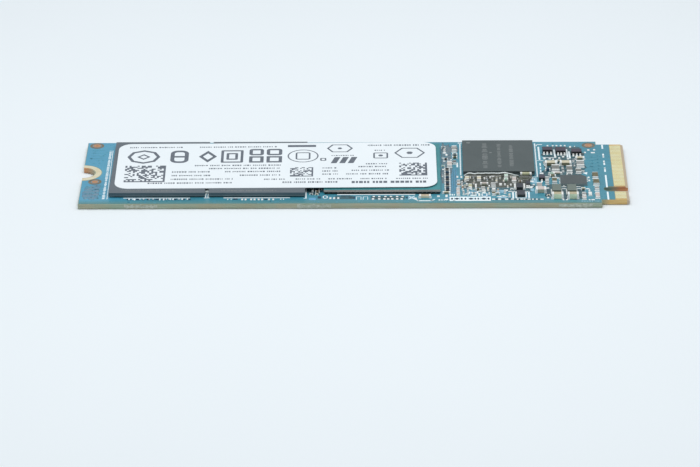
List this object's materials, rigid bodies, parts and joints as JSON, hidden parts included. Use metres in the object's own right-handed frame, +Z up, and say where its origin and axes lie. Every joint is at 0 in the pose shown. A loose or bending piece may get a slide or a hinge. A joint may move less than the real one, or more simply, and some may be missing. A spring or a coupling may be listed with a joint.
{
  "type": "solid state drive",
  "caption": "Bare solid state drive module: slim circuit board with flash, controller and memory packages under a blank-style label, edge connector one end, screw notch the other.",
  "frame": {"origin": "centre of the board's outline, on its underside", "axes": "+X along the board to the edge connector, +Y across the board away from the key slot's side, +Z up out of the component side"},
  "size_m": [0.08, 0.022, 0.0016],
  "materials": {
    "solder_mask": "satin blue-green solder mask over copper, with white screen printing",
    "gold_plating": "polished gold plating",
    "mould_compound": "matte dark grey moulding",
    "package_laminate": "satin green laminate with a tan cut edge",
    "silicon": "polished grey silicon",
    "solder": "satin solder",
    "label_paper": "smooth white coated paper, printed grey",
    "ferrite": "matte grey-green ferrite",
    "chip_ceramic": "tan ceramic body with tinned ends",
    "resin": "gloss cured resin"
  },
  "bodies": {
    "root": {"circuit_board": "solder_mask", "screw_pad_top": "gold_plating", "screw_pad_bottom": "gold_plating", "top_contacts_wide": "gold_plating", "top_contacts_narrow": "gold_plating", "bottom_contacts_wide": "gold_plating", "bottom_contacts_narrow": "gold_plating", "controller_ball_grid": "solder", "controller_substrate": "package_laminate", "controller_die": "silicon", "memory_underfill_bead": "resin", "paper_label": "label_paper", "power_chip": "mould_compound", "power_inductor_1": "ferrite", "power_inductor_2": "ferrite", "flash_a_ball_grid": "solder", "flash_a_substrate": "package_laminate", "flash_a_die_stack": "silicon", "flash_a_moulding": "mould_compound", "flash_b_ball_grid": "solder", "flash_b_substrate": "package_laminate", "flash_b_die_stack": "silicon", "flash_b_moulding": "mould_compound", "memory_ball_grid": "solder", "memory_substrate": "package_laminate", "memory_die": "silicon", "memory_moulding": "mould_compound", "load_switch_1": "mould_compound", "load_switch_2": "mould_compound", "load_switch_3": "mould_compound", "clamp_diode": "mould_compound", "sensor_chip": "mould_compound", "switching_transistor": "mould_compound", "level_shifter": "mould_compound", "bulk_capacitor_1": "chip_ceramic", "bulk_capacitor_2": "chip_ceramic", "filter_capacitor_1": "chip_ceramic", "filter_capacitor_2": "chip_ceramic", "input_capacitor_1": "chip_ceramic", "input_capacitor_2": "chip_ceramic", "input_capacitor_3": "chip_ceramic", "input_capacitor_4": "chip_ceramic", "input_capacitor_5": "chip_ceramic", "input_capacitor_6": "chip_ceramic", "output_capacitor_1": "chip_ceramic", "output_capacitor_2": "chip_ceramic", "output_capacitor_3": "chip_ceramic", "output_capacitor_4": "chip_ceramic", "memory_capacitor_1": "chip_ceramic", "memory_capacitor_2": "chip_ceramic", "memory_capacitor_3": "chip_ceramic", "memory_capacitor_4": "chip_ceramic", "memory_capacitor_5": "chip_ceramic", "memory_capacitor_6": "chip_ceramic", "memory_capacitor_7": "chip_ceramic", "memory_capacitor_8": "chip_ceramic", "memory_capacitor_9": "chip_ceramic", "controller_capacitor_1": "chip_ceramic", "controller_capacitor_2": "chip_ceramic", "controller_capacitor_3": "chip_ceramic"}
  },
  "joints": []
}
